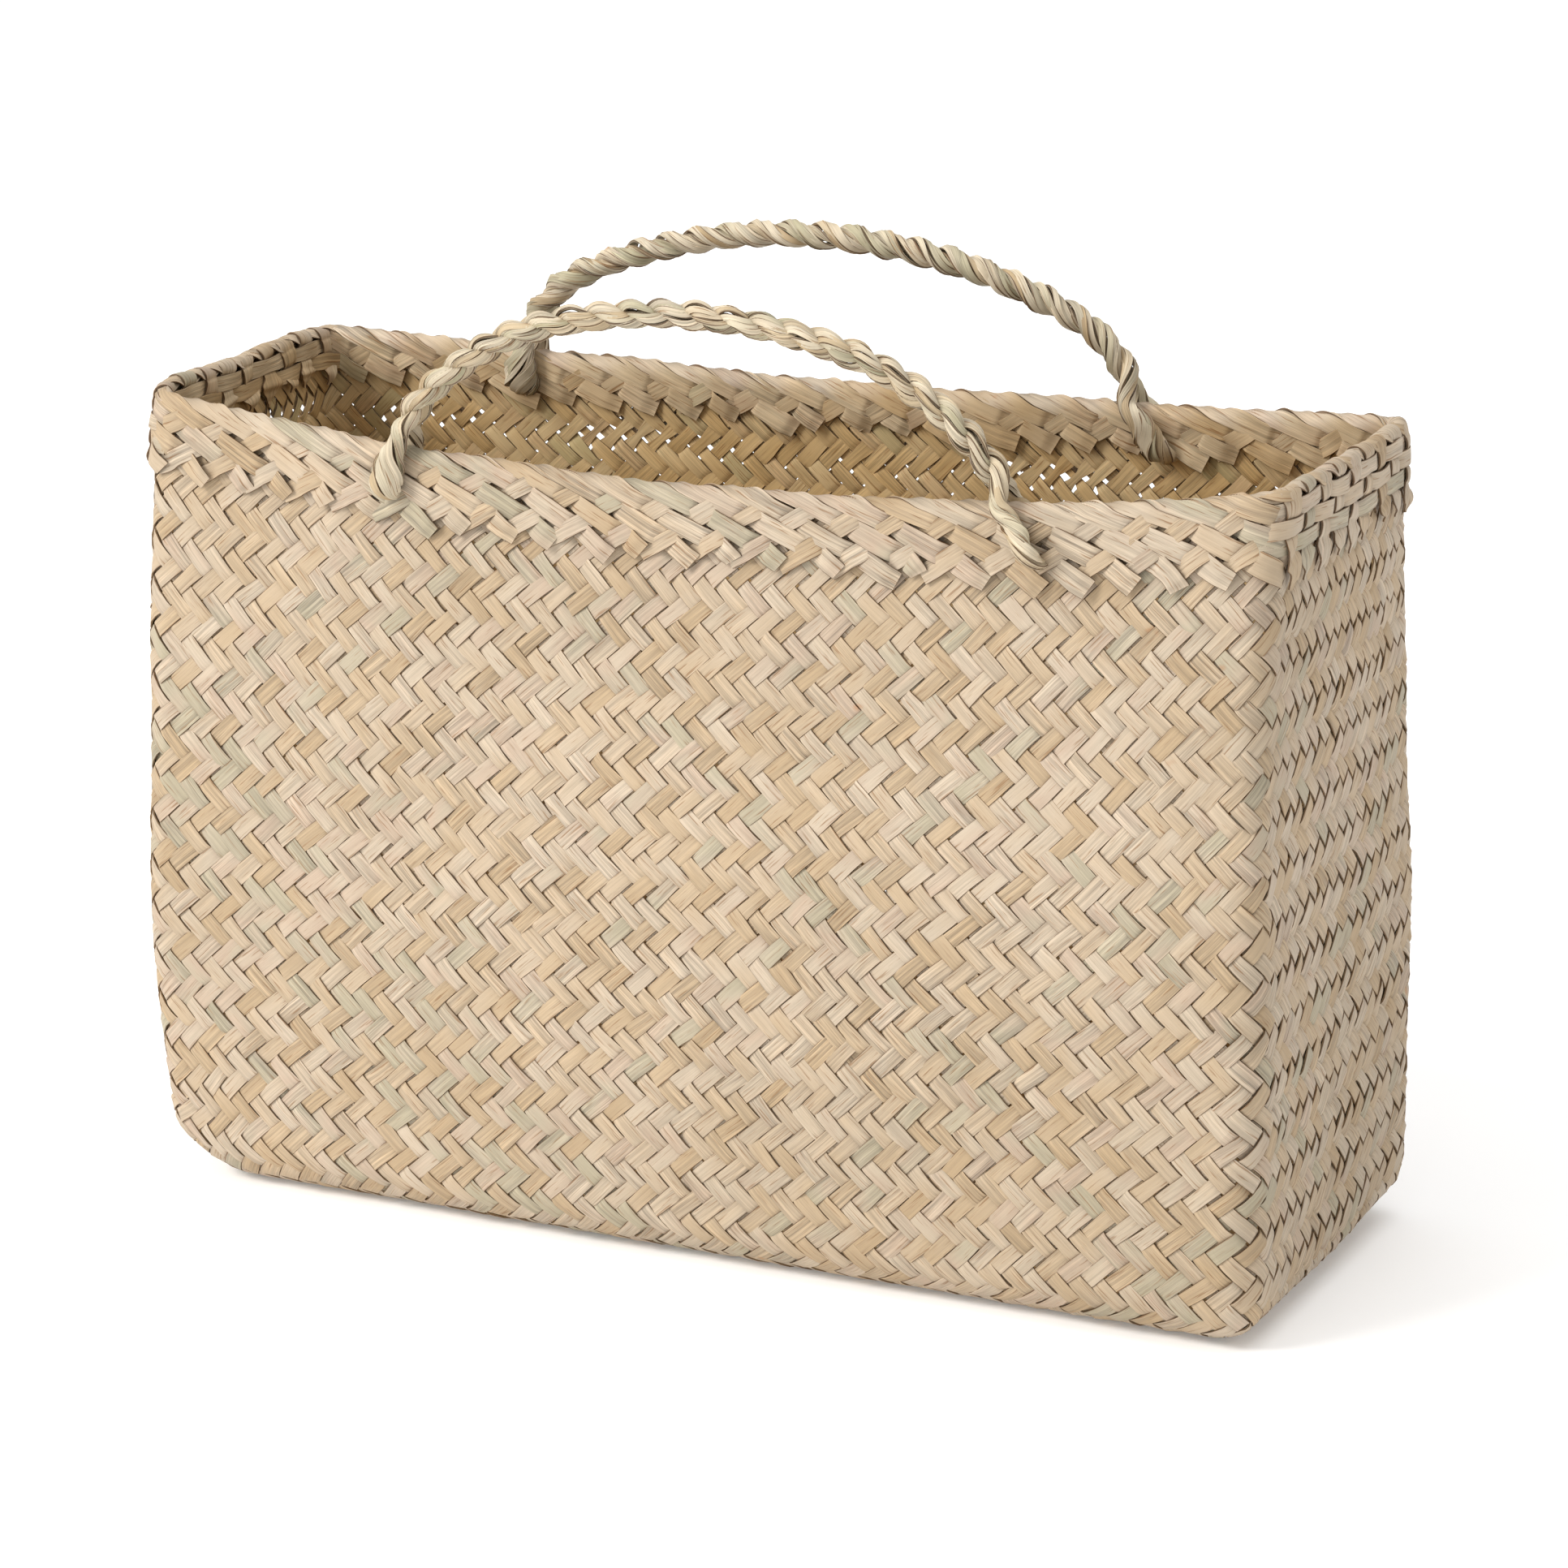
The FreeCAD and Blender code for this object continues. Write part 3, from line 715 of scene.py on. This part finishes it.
def end_border(name, start, nodes):
    """Upright strips folded over the rim through level ones, in a square weave, ending in pointed tabs."""
    low, high = start + END_MARGIN, start + CORNER_SPAN * 2 + END_SPAN - END_MARGIN
    count = END_COUNT
    pitch = (high - low) / count
    first = CREST + 0.0006
    numbers = np.arange(count)[:, None]
    point_length = 0.0088 + random.uniform(-0.002, 0.002, (count, 1))
    outer_end = first + 3 * END_ROW + point_length
    inner_end = first + 2 * END_ROW + 0.6 * point_length
    share = np.linspace(-1, 1, 91)
    s = np.where(share > 0, share * outer_end, share * inner_end)
    slanting = 0.7 * jitter(count)
    p = low + (numbers + 0.5) * pitch + 0.16 * drift(s, count, 0.02) + slanting * smooth((s - 0.014) / 0.012)
    place = np.clip((np.abs(s) - first) / END_ROW, -0.5, 3.0)
    flip = np.where(numbers % 2 == 0, 1.0, -1.0)
    wave = steepen(flip * np.sin(math.pi * place), 1.8)
    wave = np.where(np.abs(s) < first, np.maximum(wave, 0.3), wave)
    end = np.where(s > 0, outer_end, inner_end)
    tip = np.clip(1 - (end - np.abs(s)) / point_length, 0, 1)
    at_crest = np.exp(-(s / 0.0035) ** 2)
    half_width = 0.0031 * (1 + 0.5 * at_crest + 0.08 * drift(s, count, 0.012))
    half_width = (half_width + 0.0019 * smooth(tip * 4)) * (1 - 0.92 * smooth((tip - 0.2) / 0.8))
    lift = END_LIFT * wave + TAB_RISE * smooth(tip * 3) - 0.0012 * smooth((tip - 0.6) / 0.4) + END_OUT
    roll = 0.12 * drift(s, count, 0.01)
    parts = [whole(border_strips(p, s, half_width, lift, roll, tones(count, s.shape[1], 0.6, 0.2)))]
    for side, rows in ((1, 3), (-1, 2)):
        numbers = np.arange(rows)[:, None]
        p = np.repeat(np.arange(low - 0.5, high + 0.51, pitch / 12)[None, :], rows, axis=0)
        s = side * (first + (numbers + 0.5) * END_ROW) + 0.0006 * drift(p, rows, 4.0)
        flip = np.where(numbers % 2 == 0, -1.0, 1.0)
        wave = steepen(flip * np.cos(math.pi * ((p - low) / pitch - 0.5)) + 0.3, 2.2)
        half_width = 0.5 * END_ROW * (1.0 + 0.10 * drift(p, rows, 2.0))
        lift = END_LIFT * wave - END_TUCK * tuck(p, low - 0.5, high + 0.5, 0.8) + END_OUT
        roll = 0.11 * drift(p, rows, 2.0)
        parts.append(whole(border_strips(p, s, half_width, lift, roll, tones(rows, p.shape[1], 0.6, 0.2))))
    p = np.repeat(np.arange(low - 0.4, high + 0.41, pitch / 12)[None, :], 2, axis=0)
    turn = math.pi * (p - low) / pitch + np.array([[0.0], [math.pi]])
    s = 0.0016 * np.sin(turn)
    lift = 0.0002 + 0.0006 * np.cos(turn)
    lift = lift - 0.0010 * tuck(p, low - 0.4, high + 0.4, 0.8)
    half_width = 0.0028 * (1 + 0.12 * drift(p, 2, 2.0))
    roll = 0.15 * drift(p, 2, 2.0)
    parts.append(whole(border_strips(p, s, half_width, lift, roll, tones(2, p.shape[1], 0.6, 0.2))))
    build(name, parts, border_leaf, "basket", nodes)


# ---------------------------------------------------------------- rope handles

PIVOTS = {joint["name"]: joint["pos_m"] for joint in frame["joints"]}
# How steep each arch is at its ends, and where its tight side arcs meet its wide top arc
SLOPES = {"front": (math.radians(54.0), math.radians(15.5)), "rear": (math.radians(67.0), math.radians(24.5))}
STEP = 0.0012
ROPE_END = 0.0045            # how far a rope's box reaches past its centreline's ends
ROPE_TOP = 0.0046            # and above its centreline's top
STRAND_OFFSET = 0.00215      # from the rope's centreline to a strand's
STRAND_RADIUS = 0.00220
LEAVES = 8                   # leaves in a strand
LEAF_THICK = 0.00042         # half the thickness of a leaf
LAY = 0.034                  # length in which a strand's leaves turn once round it
ROPE_TURNS = 21              # half turns of the two strands round each other along the arch
FLARE = 0.0012               # how far the strands part at the arch's ends
LEG_SPREAD = 0.0062          # from the middle of the wall to a leg's lower part


def arch_path(middle, half_span, rise, axis_y, axis_z, start, shoulder):
    """The rope's centreline: tight side arcs and a wide top arc, and its length."""
    across = math.sin(start) - math.sin(shoulder)
    up = math.cos(shoulder) - math.cos(start)
    top_across, top_up = math.sin(shoulder), 1 - math.cos(shoulder)
    side_radius = (rise * top_across - half_span * top_up) / (up * top_across - across * top_up)
    top_radius = (rise - side_radius * up) / top_up
    side_length = side_radius * (start - shoulder)
    top_length = top_radius * 2 * shoulder
    length = 2 * side_length + top_length
    s = np.linspace(0, length, int(length / STEP))
    slope = np.select([s < side_length, s < side_length + top_length],
                      [start - s / side_radius, shoulder - (s - side_length) / top_radius],
                      -shoulder - (s - side_length - top_length) / side_radius)
    step = s[1] - s[0]
    x = np.concatenate([[0], np.cumsum(np.cos((slope[1:] + slope[:-1]) / 2))]) * step
    z = np.concatenate([[0], np.cumsum(np.sin((slope[1:] + slope[:-1]) / 2))]) * step
    x += middle - half_span
    path = np.stack([x, np.full_like(x, axis_y), axis_z + z], axis=-1)
    tangent = np.stack([np.cos(slope), np.zeros_like(x), np.sin(slope)], axis=-1)
    return path, tangent, s, length


def even(points, step=STEP, passes=4):
    """Points spaced evenly along a line, with its corners softened."""
    for _ in range(2):
        gaps = np.linalg.norm(np.diff(points, axis=0), axis=1)
        along = np.concatenate([[0], np.cumsum(gaps)])
        places = np.linspace(0, along[-1], max(int(along[-1] / step), 8))
        points = np.stack([np.interp(places, along, points[:, axis]) for axis in range(3)], axis=-1)
        for _ in range(passes):
            points[1:-1] = (points[:-2] + 2 * points[1:-1] + points[2:]) / 4
    return points


def leg_foot(name, root_x):
    """Where the foot of a leg is, in x and z, read from the leg's box."""
    low, high = (np.array(c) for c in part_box(name))
    leans_right = (low[0] + high[0]) / 2 > root_x
    return (high[0] - 0.0033 if leans_right else low[0] + 0.0033), low[2] + 0.0015


def rope_strand(handle, side, middle, half_span, rise, first_outside):
    """Centreline of one of the two strands, from the left wall over the arch and back into the wall."""
    axis_y, axis_z = PIVOTS[f"{handle}_handle_swing"][1:]
    path, tangent, s, length = arch_path(middle, half_span, rise, axis_y, axis_z, *SLOPES[handle])
    out = np.array([0.0, side, 0.0])
    up = np.cross(out, tangent) * (1 if side < 0 else -1)
    phase = (0 if first_outside else math.pi) + side * math.pi * ROPE_TURNS * s / length
    spread = STRAND_OFFSET * (1 + 0.06 * np.sin(s / 0.023 + side))
    spread = spread + FLARE * (1 - smooth(s / 0.006)) + FLARE * (1 - smooth((length - s) / 0.006))
    twisted = path + (out * np.cos(phase)[:, None] + up * np.sin(phase)[:, None]) * spread[:, None]
    lines = []
    for word, at_start in (("left", True), ("right", False)):
        goes_out = np.cos(phase[0 if at_start else -1]) > 0
        where = "outer" if goes_out else "inner"
        root = path[0] if at_start else path[-1]
        foot_x, foot_z = leg_foot(f"{handle}_{word}_{where}_leg", root[0])
        sign = side if goes_out else -side
        tie_low, tie_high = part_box(f"{handle}_{word}_tie")
        tie_y = (tie_low[1] + tie_high[1]) / 2
        hole = np.array([foot_x, tie_y, foot_z + 0.0005])
        foot = np.array([foot_x, tie_y + sign * 0.0052, foot_z + 0.002])
        low_x, low_z = foot_x * 0.85 + root[0] * 0.15, foot_z * 0.85 + root[2] * 0.15
        low = np.array([low_x, tie_y + sign * LEG_SPREAD, low_z])
        mid_x, mid_z = foot_x * 0.4 + root[0] * 0.6, foot_z * 0.4 + root[2] * 0.6
        mid = np.array([mid_x, root[1] + sign * 0.0064, mid_z])
        high = np.array([root[0], root[1] + sign * 0.0056, root[2] - 0.0065])
        line = [hole, foot, low, mid, high]
        lines.append(line if at_start else line[::-1])
    points = np.concatenate([np.array(lines[0]), twisted, np.array(lines[1])])
    return even(points)


def bundle(line, lay, legs_below):
    """Narrow leaves laid round one strand's centreline, wider along the wall in the legs."""
    tangent = unit(np.gradient(line, axis=0))
    first = np.array([0.0, 1.0, 0.0])
    frames = [unit(first - tangent[0] * (first @ tangent[0]))]
    for direction in tangent[1:]:
        last = frames[-1]
        frames.append(unit(last - direction * (last @ direction)))
    side = np.array(frames)
    other = np.cross(tangent, side)
    gaps = np.linalg.norm(np.diff(line, axis=0), axis=1)
    along = np.concatenate([[0], np.cumsum(gaps)])
    t = np.repeat(along[None, :], LEAVES, axis=0)
    in_leg = smooth((legs_below - line[:, 2]) / 0.012)
    angle = (np.arange(LEAVES)[:, None] + 0.25 * jitter(LEAVES)) * 2 * math.pi / LEAVES
    angle = angle + 2 * math.pi * t / lay + 0.30 * drift(t, LEAVES, 0.02)
    reach = STRAND_RADIUS * (1 + 0.13 * drift(t, LEAVES, 0.012))
    to_end = np.minimum(t, along[-1] - t)
    reach = reach * (0.60 + 0.40 * smooth(to_end / 0.009))
    wall_ward = reach * (1 + 0.05 * in_leg)
    along_wall = reach * (1 + 1.10 * in_leg)
    cos, sin = np.cos(angle), np.sin(angle)
    spoke = side[None] * (cos * wall_ward)[..., None] + other[None] * (sin * along_wall)[..., None]
    outward = unit(side[None] * (cos * along_wall)[..., None] + other[None] * (sin * wall_ward)[..., None])
    centre = line[None] + spoke
    half_width = STRAND_RADIUS * (0.52 + 0.10 * drift(t, LEAVES, 0.015)) * (1 + 0.60 * in_leg)
    half_width = half_width * (0.6 + 0.4 * smooth(to_end / 0.009))
    thick = np.full_like(half_width, LEAF_THICK)
    rows = sections(centre, outward, half_width, thick, 0.12 + 0.30 * drift(t, LEAVES, 0.012))
    return Strips(rows, half_width, tones(LEAVES, t.shape[1], 0.5, 0.25))


def build_handle(handle, side):
    """The two strands of one handle. Side is -1 at the front and 1 at the rear."""
    low, high = (np.array(c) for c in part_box(f"{handle}_handle_rope"))
    axis_y, axis_z = PIVOTS[f"{handle}_handle_swing"][1:]
    middle = (low[0] + high[0]) / 2
    half_span = (high[0] - low[0]) / 2 - ROPE_END
    rise = high[2] - ROPE_TOP - axis_z
    parts = []
    for first_outside in (True, False):
        line = rope_strand(handle, side, middle, half_span, rise, first_outside)
        parts.append(whole(bundle(line, LAY * side, axis_z - 0.004)))
    nodes = [f"{handle}_handle_rope"]
    for word in ("left", "right"):
        nodes += [f"{handle}_{word}_outer_leg", f"{handle}_{word}_inner_leg", f"{handle}_{word}_tie"]
    turning = ("basket", f"{handle}_handle", (0, axis_y, axis_z - 0.005), (0, axis_y, axis_z + 0.010))
    for number, part in enumerate(parts):
        build(f"{handle}_rope_strand_{number + 1}", [part], rope_leaf, turning, nodes)


# ---------------------------------------------------------------- stage, light and camera

def plain_material(name, colour, roughness, glow):
    """A plain surface. Glow is a little light of its own, as of a studio floor lit from below."""
    material = bpy.data.materials.new(name)
    nodes = Nodes(material)
    shader = nodes.add("ShaderNodeBsdfPrincipled", {"Base Color": colour, "Roughness": roughness,
                                                    "Specular IOR Level": 0.2, "Emission Color": colour,
                                                    "Emission Strength": glow})
    nodes.add("ShaderNodeOutputMaterial", {"Surface": shader.outputs[0]})
    return material


def build_stage():
    """The pale floor."""
    mesh = bpy.data.meshes.new("floor")
    reach = 6.0
    square = [(-reach, -reach, 0), (reach, -reach, 0), (reach, reach, 0), (-reach, reach, 0)]
    mesh.from_pydata(square, [], [(0, 1, 2, 3)])
    mesh.materials.append(plain_material("floor_white", srgb(250, 250, 250), 0.9, 0.15))
    floor = bpy.data.objects.new("floor", mesh)
    bpy.context.scene.collection.objects.link(floor)


def area_light(name, place, aim, size, power, colour=(1.0, 1.0, 1.0)):
    """A rectangular lamp that faces a point."""
    light = bpy.data.lights.new(name, "AREA")
    light.shape = "RECTANGLE"
    light.size, light.size_y = size
    light.energy = power
    light.color = colour
    lamp = bpy.data.objects.new(name, light)
    bpy.context.scene.collection.objects.link(lamp)
    lamp.location = place
    lamp.rotation_euler = (Vector(aim) - Vector(place)).to_track_quat("-Z", "Y").to_euler()


def build_light():
    """Soft studio light: an even world, a wide sun and three area lamps."""
    world = bpy.data.worlds.new("studio")
    bpy.context.scene.world = world
    world.use_nodes = True
    background = world.node_tree.nodes["Background"]
    background.inputs["Color"].default_value = (1.0, 1.0, 1.0, 1.0)
    background.inputs["Strength"].default_value = 0.56
    middle = (0.0, 0.0, 0.13)
    sun = bpy.data.lights.new("key", "SUN")
    sun.energy = 1.55
    sun.angle = math.radians(22)
    sun.color = WARM_WHITE
    lamp = bpy.data.objects.new("key", sun)
    bpy.context.scene.collection.objects.link(lamp)
    lamp.rotation_euler = Vector((-1.0, -1.15, 1.35)).to_track_quat("Z", "Y").to_euler()
    area_light("front_fill", (0.3, -2.6, 0.9), middle, (2.2, 1.6), 6.0)
    area_light("top", (0.45, 0.1, 2.4), middle, (1.8, 1.8), 26.0)
    area_light("left_front", (-0.95, -1.0, 0.85), middle, (0.5, 0.5), 8.0, WARM_WHITE)


def build_camera():
    """A camera at the photograph's viewing angle."""
    azimuth, elevation, distance = math.radians(25.15), math.radians(16.38), 1.7465
    target = Vector((0.00384, 0.0, 0.1373))
    back = Vector((math.sin(azimuth) * math.cos(elevation), -math.cos(azimuth) * math.cos(elevation),
                   math.sin(elevation)))
    camera = bpy.data.cameras.new("camera")
    camera.sensor_width = 36.0
    camera.lens = 127.6
    camera.clip_start = 0.05
    camera.clip_end = 50.0
    view = bpy.data.objects.new("camera", camera)
    bpy.context.scene.collection.objects.link(view)
    view.location = target + back * distance
    view.rotation_euler = back.to_track_quat("Z", "Y").to_euler()
    bpy.context.scene.camera = view


build_camera()
build_light()
build_stage()
bpy.context.scene.view_settings.view_transform = "Standard"
build_plait()
long_border("front_border_strips", 0.0, ["front_rim", "front_left_rim_corner", "front_right_rim_corner"])
long_border("back_border_strips", HALF_LOOP, ["back_rim", "back_left_rim_corner", "back_right_rim_corner"])
end_border("right_border_strips", SIDE_SPAN, ["right_rim"])
end_border("left_border_strips", SIDE_SPAN + HALF_LOOP, ["left_rim"])
build_handle("front", -1)
build_handle("rear", 1)
